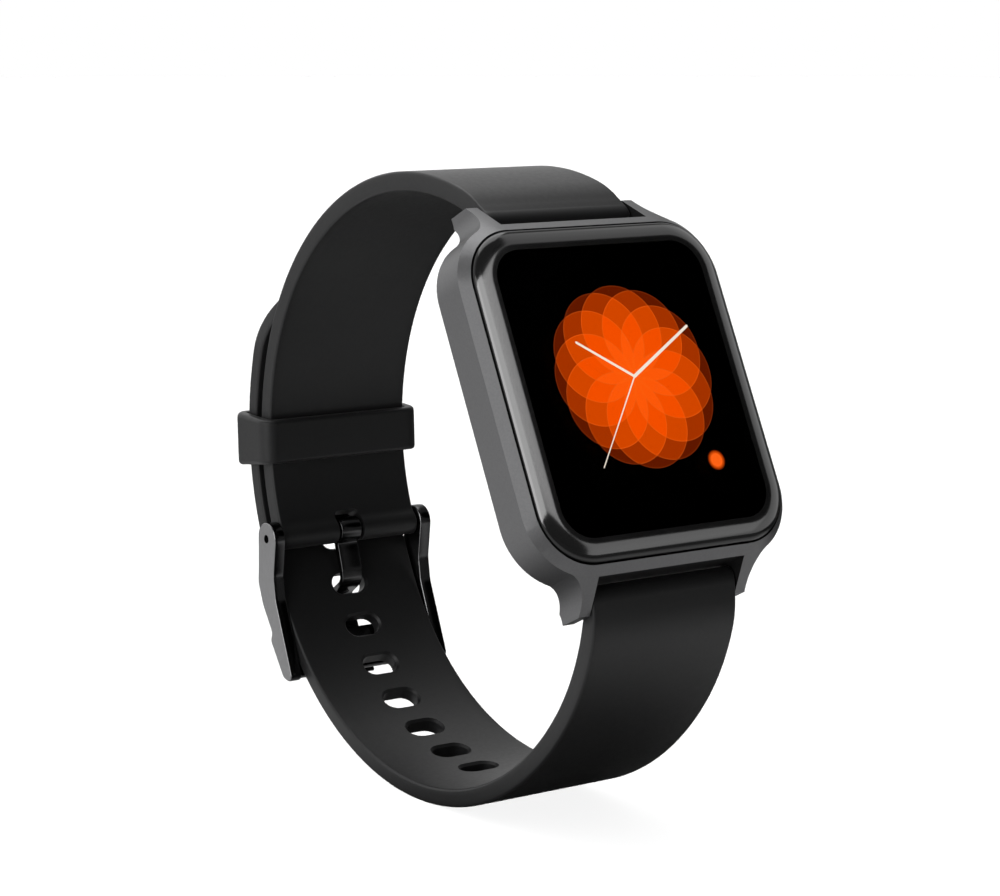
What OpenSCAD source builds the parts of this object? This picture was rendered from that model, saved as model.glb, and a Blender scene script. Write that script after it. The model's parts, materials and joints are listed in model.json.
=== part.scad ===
// Square smartwatch on a buckled silicone strap, built piece by piece.
// It stands on the lowest line of its strap loop: +Z up, +X across the strap,
// display facing -Y and leaning back. Each module is written in watch axes
// (X across the strap, Y towards 12 o'clock, Z out of the display) and then
// tilted into place as one assembly.

/* [Attitude] */
// Angle the watch is turned about X from lying face up, in degrees
tilt = 64; // [40:1:90]

/* [Case] */
// Width of the case across the strap
case_w = 35.8; // [35.4:0.1:37]
// Height of the case between the two strap recesses
case_h = 40.2; // [39.6:0.1:40.4]
// Corner radius of the case outline
case_r = 7.4; // [7:0.1:8]
// Width of the sloped rim around the glass
rim = 1.05; // [0.9:0.05:1.2]
// Depth of the case from the rim to the rear edge
case_d = 8.4; // [8.2:0.1:8.8]
// Depth at which the side wall turns inwards
wall_d = 5.4; // [5:0.1:5.6]
// Distance from the middle of the case to the lug tips
lug_tip = 23.5; // [23.4:0.1:24]
// Depth of the rear face of the lugs
lug_d = 7.6; // [7.2:0.1:8]
// Radius of the hollow curve that leads from the case corner to the lug
lug_curve = 4.05; // [4:0.05:4.2]
// Clear width between a pair of lugs
lug_gap = 20.2; // [20.1:0.1:20.4]

/* [Glass] */
// Width of the dark joint line around the glass
joint = 0.2; // [0.1:0.05:0.3]
// Height of the flat top of the glass above the rim
dome = 0.95; // [0.7:0.05:1.1]

/* [Side button] */
// Length of the button cap
button_l = 7; // [6:0.5:8]
// Height of the button cap
button_h = 2; // [1.8:0.1:2.2]
// Height of the button cap above the case wall
button_proud = 0.55; // [0.4:0.05:0.7]

/* [Strap] */
// Width of the strap
strap_w = 19.9; // [19.5:0.1:19.9]
// Inner radius of the buckle half of the strap
upper_r = 31.44; // [31.3:0.02:31.6]
// Thickness of the buckle half of the strap
upper_t = 2.25; // [2.1:0.05:2.3]
// Inner radius of the tail that lies outside the buckle half
tail_r = 34.8; // [34.7:0.05:35]
// Thickness of the tail
tail_t = 1.93; // [1.8:0.01:1.95]
// Inner radius of the hole half of the strap
lower_r = 33.31; // [33.2:0.01:33.4]
// Thickness of the hole half of the strap at its quarter point
lower_t = 2.2; // [2.1:0.05:2.3]
// Spacing of the adjustment holes along the strap
hole_pitch = 6; // [5.8:0.1:6.2]
// Width of an adjustment hole across the strap
hole_w = 4.8; // [4.4:0.1:5]
// Length of an adjustment hole along the strap
hole_l = 2.8; // [2.7:0.1:3]

/* [Buckle] */
// Half of the outer width of the buckle
buckle_x = 11.7; // [11.6:0.05:12]
// Thickness of a buckle arm
arm_t = 1.4; // [1.2:0.05:1.4]
// Width of the tongue
tongue_w = 3; // [2.6:0.1:3.2]

/* [Keeper] */
// Length of the keeper along the strap
keeper_l = 5.6; // [5.5:0.1:7]
// Place of the keeper, in degrees round the tail from its lowest point
keeper_a = 23.8; // [18:0.2:26]

/* [Hidden] */
$fn = 96;

// Colours
gunmetal = [0.17, 0.17, 0.175];
black_glass = [0.01, 0.01, 0.012];
seal_black = [0.03, 0.03, 0.03];
silicone = [0.045, 0.045, 0.048];
black_metal = [0.02, 0.02, 0.022];
steel = [0.62, 0.62, 0.63];
gold = [0.83, 0.65, 0.3];
board_green = [0.04, 0.2, 0.1];
foil_grey = [0.5, 0.5, 0.52];
plastic_black = [0.06, 0.06, 0.065];
amber = [0.6, 0.32, 0.06];

// Overlap of joined shapes, and how far cutters pass the faces they cut
eps = 0.01;
over = 1;

// Lugs: the wall beside the strap and the tiny steps that keep faces apart
lug_wall = 1.45;
lug_top = 0.5;
lug_root = 3;
curve_sink = 0.012;
slope_sink = 0.02;

// Strap loop: two eccentric arcs and a flat for the hole half, one arc for the
// buckle half and the tail. Centres are [Y, Z] in watch axes.
bar_y = 22.05;
bar_z = -4.8;
head_r = 1.8;
loop_c = [1.98, -29.55];
loop_bottom = loop_c[1] - tail_r;
low_c = [-2.14, loop_bottom + lower_r];
low_out_r = lower_r + lower_t;
low_out_c = [low_c[0], loop_bottom - tail_t + low_out_r];
shoulder_step = 6.95;
shoulder_a = 152.1;
shoulder_v = shoulder_step * [cos(shoulder_a), sin(shoulder_a)];
side_c = low_c + shoulder_v;
side_out_c = low_out_c + shoulder_v;
side_r = lower_r - shoulder_step;
side_out_r = low_out_r - shoulder_step;
upper_out_r = upper_r + upper_t;
tail_out_r = tail_r + tail_t;
tail_tip_a = 312;
tip_span = 20;
loop_reach = 90;
round_fn = 360;

// Buckle pin, on the middle line of the buckle half
pin_y = 3.25;
pin_mid_r = upper_r + upper_t / 2;
pin_z = loop_c[1] - sqrt(pow(pin_mid_r, 2) - pow(pin_y - loop_c[0], 2));
pin_head_r = 1.6;
pin_r = 0.85;
pin_tip_r = 0.5;
pin_recess = 0.5;
pin_eye_r = 2.05;
tongue_eye_r = 1.6;
tongue_gap = 0.35;
slot_back = 0.6;
run = 0.05;

// Adjustment holes: angle of the first one on each arc, and how many
low_hole_a = 268.35;
low_holes = 7;
tail_hole_a = 261.9;
tail_holes = 3;
hole_reach = 2;

// Keeper: play round the strap, wall and corner radii
keeper_play = 0.25;
keeper_side_play = 0.17;
keeper_t = 1.25;
keeper_side_t = 1.4;
keeper_out_r = 2;
keeper_in_r = 0.4;

// Buckle outlines, as [Y, height above the inner face of the loop's flat]
arm_outline = [
    [4.3, 3.85], [2.4, 4.1], [-1.5, 1.6], [-4.4, 0.7], [-12.1, 0.15], [-14.1, 0],
    [-14.45, -0.85], [-13.6, -1.95], [-8.5, -2.75], [-7.75, -1.95], [-4, -2.45],
    [-1.1, -2.25], [0.8, -1.2], [4.9, 1.05]
];
cross_outline = [
    [-9.5, 0.35], [-13.95, 0.25], [-14.2, -0.85], [-13.5, -1.75], [-8.5, -2.5], [-8.5, 0.35]
];
cross_gap = 0.2;
tongue_outline = [
    [2.2, 2.05], [0.6, 1.85], [-1.9, 1.45], [-3.1, 0.95], [-3.6, 0.15], [-3.95, -2.05],
    [-4.5, -2.6], [-8.6, -2.65], [-13.4, -1.9], [-14.4, -1.55], [-14.6, -1.9],
    [-13.6, -2.6], [-8.6, -3.4], [-4, -3.3], [-3.25, -2.65], [-2.85, -0.05],
    [-2.5, 0.4], [-1.5, 0.7], [1.9, 1.05]
];

// Spring bars: tube with one fixed tip, sliding tip with its lever, and coil
tube_r = 0.78;
tube_bore = 0.55;
tip_r = 0.48;
tube_x = 9.3;
tube_end_t = 0.6;
tip_x = 11.05;
slider_x = 4.6;
lever_x = 7.6;
lever_travel = 1.05;
lever_r = 0.35;
lever_l = 1.9;
lever_slot_w = 0.9;
lever_slot_end = 0.55;
notch_w = 1.6;
notch_end = 0.9;
notch_l = 4;
seat_gap = 0.02;
coil_r = 0.36;
wire_r = 0.11;
coil_n = 12;
coil_pitch = 1.18;
coil_x0 = -8.55;

// Glass and the cavities of the case, as outline sizes, corner radii and depths
glass_w = case_w - 2 * rim - 2 * joint;
glass_h = case_h - 2 * rim - 2 * joint;
glass_r = case_r - rim - joint;
glass_border = 2.1;
dome_shape = [[1, 1], [0.6, 0.93], [0.29, 0.72], [0.1, 0.4]];
glass_under = 1.2;
pocket_d = 1.6;
cave_w = 29;
cave_h = 33.4;
cave_r = 4.6;
cave_d = 6.6;
lip_w = 24.4;
lip_h = 28.8;
lip_r = 7;

// Small assembly gaps
fit = 0.15;
snug = 0.05;

// Display, its bracket and its ribbon
seal_edge = 0.3;
panel_w = 28.2;
panel_h = 32.6;
panel_r = 4.4;
panel_d = 2.6;
bracket_w = 28.6;
bracket_h = 33;
bracket_r = 4.5;
bracket_hole_w = 24;
bracket_hole_h = 27;
bracket_hole_r = 2;
bracket_d = 3.1;
ribbon_half_w = 4;
ribbon_t = 0.12;
ribbon_y = -13;
ribbon_on_panel = 5;
ribbon_on_board = 4;
ribbon_top = -panel_d - 0.03;
ribbon_low = -bracket_d - 0.07;

// Board, battery, motor and side switch
board_w = 23.6;
board_h = 29;
board_r = 2;
board_top = 3.2;
board_d = 4;
shield_at = [-10, -13.5];
shield_size = [9, 5.5, 1.2];
shield_sunk = 0.1;
battery_at = [-10.5, -6.4];
battery_size = [21, 20.4, 2.3];
battery_d = 6.5;
motor_at = [5, -11.2];
motor_r = 4;
motor_h = 2.2;
motor_d = 6.4;
switch_l = 3.6;
switch_x = 11.85;
switch_t = 1.7;
switch_top = 3.3;
switch_h = 1.7;
switch_tab_x = 10.9;
switch_tab_t = 0.4;

// Rear cover, its seal, screws, sensor and contacts
cover_w = 27;
cover_h = 31.6;
cover_r = 3.8;
cover_seat = 7.4;
cover_top = 7.7;
cover_back = 8.9;
bump_r = 10.6;
bump_back = 9.7;
screw_x = 11.1;
screw_y = 13.4;
screw_r = 0.5;
screw_l = 2.1;
screw_deep = 6.7;
screw_head_r = 0.95;
screw_head_t = 0.55;
socket_r = 0.45;
socket_d = 0.3;
window_r = 5.6;
window_t = 1;
window_proud = 0.15;
window_ledge = 1;
sensor_board_r = 7;
sensor_board_t = 0.6;
sensor_size = [5, 3, 0.85];
contact_x = 2.2;
contact_y = -12.7;
contact_r = 0.9;
contact_l = 1.6;
contact_proud = 0.1;

// Side button: cap in a pocket, stem through the wall, clip behind the wall
button_z = -4.1;
button_floor = case_w / 2 - 1.8;
button_back = button_floor + 0.6;
button_gap = 0.15;
stem_r = 0.45;
stem_hole = 0.75;
stem_end = 14;
clip_x = 14.1;
clip_t = 0.3;
clip_r = 0.94;
o_ring_x = 15.3;
o_ring_r = 0.13;
sleeve_l = 0.5;
sleeve_in = 0.6;
sleeve_out = 0.94;

// World placement: the lowest line of the strap loop touches the ground
rest_y = low_out_c[0] * cos(tilt) - low_out_c[1] * sin(tilt);
rest_z = low_out_c[0] * sin(tilt) + low_out_c[1] * cos(tilt) - low_out_r;

// Helpers -------------------------------------------------------------

// Watch axes to world axes
module place() {
    translate([0, -rest_y, -rest_z])
        rotate([tilt, 0, 0])
            children();
}

// Extrude a [Y, Z] outline across the strap from x0 to x1
module across(x0, x1) {
    translate([x0, 0, 0])
        rotate([90, 0, 90])
            linear_extrude(height = x1 - x0)
                children();
}

// Extrude an [X, Y] outline between two depths below the rim
module down(top, bottom) {
    translate([0, 0, -bottom])
        linear_extrude(height = bottom - top)
            children();
}

// Round bar across the strap
module bar(x0, x1, y, z, r) {
    translate([x0, y, z])
        rotate([0, 90, 0])
            cylinder(h = x1 - x0, r = r);
}

// Rounded rectangle
module round_rect(w, h, r) {
    square([w - 2 * r, h], center = true);
    square([w, h - 2 * r], center = true);
    for (sx = [-1, 1]) {
        for (sy = [-1, 1]) {
            translate([sx * (w / 2 - r), sy * (h / 2 - r)])
                circle(r = r);
        }
    }
}

// Rounded block with a stepped or sloped edge: steps is a list of [inset, z]
module edged_block(w, h, r, steps) {
    n = len(steps);
    top = steps[0][1];
    bottom = steps[n - 1][1];
    corner = concat([[0, top]], [for (s = steps) [r - s[0], s[1]]], [[0, bottom]]);
    side = [for (s = steps) [w / 2 - s[0], s[1]]];
    other = [for (i = [n - 1 : -1 : 0]) [-side[i][0], side[i][1]]];
    end = [for (s = steps) [h / 2 - s[0], s[1]]];
    edge = concat([[h / 2 - r, top]], end, [[h / 2 - r, bottom]]);
    translate([0, h / 2 - r, 0])
        rotate([90, 0, 0])
            linear_extrude(height = h - 2 * r)
                polygon(concat(side, other));
    for (m = [0, 1]) {
        mirror([0, m, 0])
            across(-w / 2 + r, w / 2 - r)
                polygon(edge);
    }
    for (q = [0 : 3]) {
        sx = (q == 0 || q == 3) ? 1 : -1;
        sy = q < 2 ? 1 : -1;
        translate([sx * (w / 2 - r), sy * (h / 2 - r), 0])
            rotate([0, 0, 90 * q])
                rotate_extrude(angle = 90)
                    polygon(corner);
    }
}

// Ring between two circles, each with its own centre
module ring(c_in, r_in, c_out, r_out) {
    difference() {
        translate(c_out)
            circle(r = r_out, $fn = round_fn);
        translate(c_in)
            circle(r = r_in, $fn = round_fn);
    }
}

// Wedge between two angles, seen from a centre
module wedge(c, a0, a1) {
    arc = [for (k = [0 : 4]) a0 + (a1 - a0) * k / 4];
    polygon(concat([c], [for (a = arc) c + loop_reach * [cos(a), sin(a)]]));
}

// Cutter for a rounded slot through a wall of inner radius r and thickness t,
// pointing outwards at angle a from centre c
module slot_cut(c, a, r, t, w, l) {
    translate([0, c[0], c[1]])
        rotate([a - 90, 0, 0])
            translate([0, 0, r - hole_reach])
                linear_extrude(height = t + 2 * hole_reach)
                    stadium(w, l);
}

// Stadium outline of overall length l and width h
module stadium(l, h) {
    square([l - h, h], center = true);
    translate([(l - h) / 2, 0])
        circle(d = h);
    translate([(h - l) / 2, 0])
        circle(d = h);
}

// Case -----------------------------------------------------------------

module lug() {
    corner = [case_w / 2 - case_r, case_h / 2 - case_r];
    curve_x = lug_gap / 2 + lug_wall + lug_curve;
    reach = case_r + lug_curve - curve_sink;
    curve_y = corner[1] + sqrt(pow(reach, 2) - pow(curve_x - corner[0], 2));
    touch = corner + (case_r / reach) * [curve_x - corner[0], curve_y - corner[1]];
    slope_r = case_r - rim - slope_sink;
    flare_h = lug_d + over - wall_d;
    flare_r = case_r - slope_sink;
    difference() {
        intersection() {
            translate([0, 0, -lug_d])
                linear_extrude(height = lug_d - lug_top)
                    difference() {
                        polygon([
                            [lug_gap / 2, corner[1] + lug_root],
                            [touch[0], corner[1] + lug_root],
                            [touch[0], lug_tip],
                            [lug_gap / 2, lug_tip]
                        ]);
                        translate([curve_x, curve_y])
                            circle(r = lug_curve);
                    }
            translate([corner[0], corner[1], -lug_d - over])
                cylinder(h = lug_d + over, r1 = slope_r + lug_d + over, r2 = slope_r);
        }
        translate([corner[0], corner[1], -lug_d - over])
            cylinder(h = flare_h, r1 = flare_r + flare_h, r2 = flare_r);
    }
}

module case_solid() {
    edged_block(case_w, case_h, case_r,
        [[rim, 0], [0, -rim], [0, -wall_d], [case_d - wall_d, -case_d]]);
    for (mx = [0, 1]) {
        for (my = [0, 1]) {
            mirror([mx, 0, 0])
                mirror([0, my, 0])
                    lug();
        }
    }
}

module case_body() {
    place() color(gunmetal) difference() {
        case_solid();
        down(-over, pocket_d)
            round_rect(case_w - 2 * rim, case_h - 2 * rim, case_r - rim);
        down(pocket_d - over, cave_d)
            round_rect(cave_w, cave_h, cave_r);
        down(cave_d - over, case_d)
            round_rect(lip_w, lip_h, lip_r);
        down(cover_seat, case_d + over)
            round_rect(cover_w, cover_h, cover_r);
        for (sy = [-1, 1]) {
            bar(-tip_x - run, tip_x + run, sy * bar_y, bar_z, tip_r + run);
        }
        for (sx = [-1, 1]) {
            for (sy = [-1, 1]) {
                translate([sx * screw_x, sy * screw_y, -cover_seat - over])
                    cylinder(h = cover_seat + over - screw_deep, r = screw_r);
            }
        }
        translate([button_floor, 0, button_z])
            rotate([90, 0, 90])
                linear_extrude(height = case_w)
                    stadium(button_l + 2 * button_gap, button_h + 2 * button_gap);
        bar(cave_w / 2 - over, button_floor + over, 0, button_z, stem_hole);
    }
}

// Front ----------------------------------------------------------------

module front_glass() {
    border = [for (d = dome_shape) [glass_border * d[0], dome * d[1]]];
    place() color(black_glass)
        edged_block(glass_w, glass_h, glass_r, concat(border, [[0, 0], [0, -glass_under]]));
}

module glass_seal() {
    place() color(seal_black)
        down(glass_under, pocket_d)
            difference() {
                round_rect(glass_w, glass_h, glass_r);
                round_rect(cave_w + 2 * seal_edge, cave_h + 2 * seal_edge, cave_r);
            }
}

module display_panel() {
    place() color(black_glass)
        down(glass_under + snug, panel_d)
            round_rect(panel_w, panel_h, panel_r);
}

module display_bracket() {
    place() color(plastic_black)
        down(panel_d + snug, bracket_d)
            difference() {
                round_rect(bracket_w, bracket_h, bracket_r);
                round_rect(bracket_hole_w, bracket_hole_h, bracket_hole_r);
            }
}

module display_flex() {
    place() color(amber)
        across(-ribbon_half_w, ribbon_half_w)
            difference() {
                union() {
                    translate([ribbon_y, ribbon_low])
                        square([ribbon_on_board, ribbon_top - ribbon_low]);
                    translate([ribbon_y, ribbon_top - ribbon_t])
                        square([ribbon_on_panel, ribbon_t]);
                }
                translate([ribbon_y + ribbon_t, ribbon_low + ribbon_t])
                    square([ribbon_on_panel, ribbon_top - ribbon_low - 2 * ribbon_t]);
            }
}

// Inside ----------------------------------------------------------------

module main_board() {
    place() color(board_green) {
        down(board_top, board_d)
            round_rect(board_w, board_h, board_r);
        translate([shield_at[0], shield_at[1], shield_sunk - board_d - shield_size[2]])
            cube(shield_size);
    }
}

module battery() {
    place() color(foil_grey)
        translate([battery_at[0], battery_at[1], -battery_d])
            cube(battery_size);
}

module vibration_motor() {
    place() color(steel)
        translate([motor_at[0], motor_at[1], -motor_d])
            cylinder(h = motor_h, r = motor_r);
}

module side_switch() {
    tab_w = switch_x - switch_tab_x + snug;
    place() color(plastic_black) {
        translate([switch_x, -switch_l / 2, -switch_top - switch_h])
            cube([switch_t, switch_l, switch_h]);
        translate([switch_tab_x, -switch_l / 2, -board_d - snug - switch_tab_t])
            cube([tab_w, switch_l, switch_tab_t]);
    }
}

module sensor_board() {
    place() color(board_green)
        translate([0, 0, -cover_top])
            cylinder(h = sensor_board_t, r = sensor_board_r);
}

module optical_sensor() {
    place() color(plastic_black)
        translate([-sensor_size[0] / 2, -sensor_size[1] / 2, -cover_top - sensor_size[2]])
            cube(sensor_size);
}

// Rear ------------------------------------------------------------------

// The four screw places
module at_screws() {
    for (sx = [-1, 1]) {
        for (sy = [-1, 1]) {
            translate([sx * screw_x, sy * screw_y, 0])
                children();
        }
    }
}

module rear_cover() {
    bump_h = bump_back - cover_back;
    place() color(plastic_black) difference() {
        union() {
            down(cover_top, cover_back)
                round_rect(cover_w - 2 * fit, cover_h - 2 * fit, cover_r - fit);
            translate([0, 0, -bump_back])
                cylinder(h = bump_h + eps, r1 = bump_r - bump_h, r2 = bump_r);
        }
        translate([0, 0, -bump_back - over])
            cylinder(h = over + window_t - window_proud + snug, r = window_r + snug);
        translate([0, 0, -bump_back - over])
            cylinder(h = bump_back + 2 * over - cover_top, r = window_r - window_ledge);
        at_screws() {
            translate([0, 0, -cover_back - over])
                cylinder(h = over + screw_head_t + snug, r = screw_head_r + fit);
            translate([0, 0, -cover_back - over])
                cylinder(h = cover_back + 2 * over - cover_top, r = screw_r + snug);
        }
        for (sx = [-1, 1]) {
            translate([sx * contact_x, contact_y, -cover_back - over])
                cylinder(h = cover_back + 2 * over - cover_top, r = contact_r + snug);
        }
    }
}

module rear_cover_seal() {
    place() color(seal_black)
        difference() {
            down(cover_seat, cover_top)
                round_rect(cover_w - 2 * fit, cover_h - 2 * fit, cover_r - fit);
            down(cover_seat - over, cover_top + over)
                round_rect(lip_w + 2 * fit, lip_h + 2 * fit, lip_r);
            translate([0, 0, -cover_top - over])
                at_screws()
                    cylinder(h = 2 * over, r = screw_r + snug);
        }
}

module rear_cover_screws() {
    place() color(steel)
        translate([0, 0, -cover_back])
            at_screws()
                difference() {
                    union() {
                        cylinder(h = screw_head_t, r = screw_head_r);
                        cylinder(h = screw_l, r = screw_r - eps);
                    }
                    translate([0, 0, -over])
                        cylinder(h = over + socket_d, r = socket_r, $fn = 6);
                }
}

module sensor_window() {
    place() color(black_glass)
        translate([0, 0, -bump_back - window_proud])
            cylinder(h = window_t, r = window_r);
}

module charging_contacts() {
    place() color(gold)
        for (sx = [-1, 1]) {
            translate([sx * contact_x, contact_y, -cover_back - contact_proud])
                cylinder(h = contact_l, r = contact_r);
        }
}

// Button ----------------------------------------------------------------

// Move the Z axis onto the button's axis, at a distance x from the middle
module on_button(x) {
    translate([x, 0, button_z])
        rotate([0, 90, 0])
            children();
}

module side_button() {
    place() color(gunmetal) {
        translate([button_back, 0, button_z])
            rotate([90, 0, 90])
                linear_extrude(height = case_w / 2 + button_proud - button_back)
                    stadium(button_l, button_h);
        bar(stem_end, button_back + eps, 0, button_z, stem_r);
    }
}

module button_seal() {
    place() color(seal_black)
        on_button(o_ring_x)
            rotate_extrude()
                translate([(stem_r + stem_hole) / 2, 0])
                    circle(r = o_ring_r, $fn = 32);
}

module button_spring() {
    place() color(steel)
        on_button(button_floor + snug)
            difference() {
                cylinder(h = sleeve_l, r = sleeve_out);
                translate([0, 0, -over])
                    cylinder(h = sleeve_l + 2 * over, r = sleeve_in);
            }
}

module button_clip() {
    place() color(steel)
        on_button(clip_x)
            difference() {
                cylinder(h = clip_t, r = clip_r);
                translate([0, 0, -over])
                    cylinder(h = clip_t + 2 * over, r = stem_r + eps);
            }
}

// Spring bars -------------------------------------------------------------

module bar_tube(sy) {
    slot_l = lever_travel + 2 * lever_slot_end;
    difference() {
        union() {
            bar(-tube_x, tube_x, sy * bar_y, bar_z, tube_r);
            bar(-tip_x, -tube_x + eps, sy * bar_y, bar_z, tip_r);
        }
        bar(-tube_x + tube_end_t, tube_x + over, sy * bar_y, bar_z, tube_bore);
        translate([lever_x - lever_travel - lever_slot_end, sy * bar_y - lever_slot_w / 2, bar_z - over])
            cube([slot_l, lever_slot_w, over]);
    }
}

module bar_lever(sy) {
    bar(slider_x, tip_x, sy * bar_y, bar_z, tip_r);
    translate([lever_x, sy * bar_y, bar_z - lever_l])
        cylinder(h = lever_l, r = lever_r);
}

module bar_coil(sy) {
    for (i = [0 : coil_n - 1]) {
        translate([coil_x0 + i * coil_pitch, sy * bar_y, bar_z])
            rotate([0, 90, 0])
                rotate_extrude($fn = 32)
                    translate([coil_r, 0])
                        circle(r = wire_r, $fn = 16);
    }
}

module upper_spring_bar() {
    place() color(steel) bar_tube(1);
}

module upper_release_lever() {
    place() color(steel) bar_lever(1);
}

module upper_bar_spring() {
    place() color(steel) bar_coil(1);
}

module lower_spring_bar() {
    place() color(steel) bar_tube(-1);
}

module lower_release_lever() {
    place() color(steel) bar_lever(-1);
}

module lower_bar_spring() {
    place() color(steel) bar_coil(-1);
}

// Strap --------------------------------------------------------------------

// Bore for a spring bar and the notch for its release lever
module bar_seat(sy) {
    notch_x = lever_x - lever_travel - notch_end;
    bar(-strap_w, strap_w, sy * bar_y, bar_z, tube_r + seat_gap);
    translate([notch_x, sy * bar_y - notch_w / 2, bar_z - notch_l])
        cube([lever_travel + 2 * notch_end, notch_w, notch_l]);
}

module upper_strap() {
    bar_a = atan2(bar_z - loop_c[1], bar_y - loop_c[0]);
    pin_a = atan2(pin_z - loop_c[1], pin_y - loop_c[0]);
    slot_w = tongue_w + 2 * tongue_gap;
    place() color(silicone) difference() {
        across(-strap_w / 2, strap_w / 2) {
            intersection() {
                ring(loop_c, upper_r, loop_c, upper_out_r);
                wedge(loop_c, pin_a, bar_a);
            }
            translate([bar_y, bar_z])
                circle(r = head_r);
            translate([pin_y, pin_z])
                circle(r = pin_head_r);
        }
        bar_seat(1);
        bar(-strap_w, strap_w, pin_y, pin_z, pin_r + run);
        translate([-slot_w / 2, -over, pin_z - notch_l])
            cube([slot_w, pin_y + pin_head_r + slot_back + over, 2 * notch_l]);
    }
}

module lower_strap() {
    side_a = atan2(bar_z - side_c[1], -bar_y - side_c[0]);
    step_a = hole_pitch / (lower_r + lower_t / 2) * 180 / PI;
    tail_step_a = hole_pitch / (tail_r + tail_t / 2) * 180 / PI;
    place() color(silicone) difference() {
        union() {
            across(-strap_w / 2, strap_w / 2) {
                intersection() {
                    ring(side_c, side_r, side_out_c, side_out_r);
                    wedge(side_c, side_a, shoulder_a);
                }
                intersection() {
                    ring(low_c, lower_r, low_out_c, low_out_r);
                    wedge(low_c, shoulder_a, 270);
                }
                translate([low_c[0], loop_bottom - tail_t])
                    square([loop_c[0] - low_c[0], tail_t]);
                intersection() {
                    ring(loop_c, tail_r, loop_c, tail_out_r);
                    wedge(loop_c, 270, tail_tip_a);
                }
                translate([-bar_y, bar_z])
                    circle(r = head_r);
            }
            intersection() {
                across(-strap_w / 2, strap_w / 2)
                    intersection() {
                        ring(loop_c, tail_r, loop_c, tail_out_r);
                        wedge(loop_c, tail_tip_a, tail_tip_a + tip_span);
                    }
                translate([0, loop_c[0], loop_c[1]])
                    rotate([tail_tip_a - 90, 0, 0])
                        cylinder(h = 2 * tail_r, r = strap_w / 2 - slope_sink);
            }
        }
        bar_seat(-1);
        for (k = [0 : low_holes - 1]) {
            slot_cut(low_c, low_hole_a - k * step_a, lower_r, lower_t, hole_w, hole_l);
        }
        for (k = [1 : tail_holes]) {
            slot_cut(loop_c, tail_hole_a + k * tail_step_a, tail_r, tail_t, hole_w, hole_l);
        }
    }
}

module keeper() {
    half_a = keeper_l / 2 / upper_r * 180 / PI;
    in0 = upper_r - keeper_play;
    in1 = tail_out_r + keeper_play;
    mid = (in0 + in1) / 2;
    half_x = strap_w / 2 + keeper_side_play;
    place() color(silicone)
        translate([0, loop_c[0], loop_c[1]])
            rotate([0, 90, 0])
                rotate([0, 0, keeper_a - half_a])
                    rotate_extrude(angle = 2 * half_a, $fn = round_fn)
                        translate([mid, 0])
                            difference() {
                                round_rect(in1 - in0 + 2 * keeper_t, 2 * (half_x + keeper_side_t),
                                    keeper_out_r);
                                round_rect(in1 - in0, 2 * half_x, keeper_in_r);
                            }
}

// Buckle ---------------------------------------------------------------------

module buckle_frame() {
    place() color(black_metal) difference() {
        union() {
            for (side = [0, 1]) {
                mirror([side, 0, 0])
                    across(buckle_x - arm_t, buckle_x) {
                        translate([0, loop_bottom])
                            polygon(arm_outline);
                        translate([pin_y, pin_z])
                            circle(r = pin_eye_r);
                    }
            }
            across(-buckle_x + arm_t - eps, buckle_x - arm_t + eps)
                difference() {
                    translate([0, loop_bottom])
                        polygon(cross_outline);
                    translate(low_out_c)
                        circle(r = low_out_r + cross_gap, $fn = round_fn);
                }
        }
        bar(-buckle_x - over, buckle_x + over, pin_y, pin_z, pin_tip_r + run);
    }
}

module buckle_tongue() {
    place() color(black_metal)
        difference() {
            across(-tongue_w / 2, tongue_w / 2) {
                translate([pin_y, pin_z])
                    circle(r = tongue_eye_r);
                translate([0, loop_bottom])
                    polygon(tongue_outline);
            }
            bar(-tongue_w, tongue_w, pin_y, pin_z, pin_r + run);
        }
}

module buckle_pin() {
    place() color(steel) {
        bar(-strap_w / 2, strap_w / 2, pin_y, pin_z, pin_r);
        bar(pin_recess - buckle_x, buckle_x - pin_recess, pin_y, pin_z, pin_tip_r);
    }
}

case_body();
front_glass();
glass_seal();
display_panel();
display_bracket();
display_flex();
main_board();
battery();
vibration_motor();
side_switch();
sensor_board();
optical_sensor();
sensor_window();
rear_cover();
rear_cover_seal();
rear_cover_screws();
charging_contacts();
side_button();
button_seal();
button_spring();
button_clip();
upper_spring_bar();
upper_release_lever();
upper_bar_spring();
lower_spring_bar();
lower_release_lever();
lower_bar_spring();
upper_strap();
lower_strap();
keeper();
buckle_frame();
buckle_tongue();
buckle_pin();
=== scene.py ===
import json
import math

import bmesh
import bpy
from mathutils import Matrix, Vector


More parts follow.
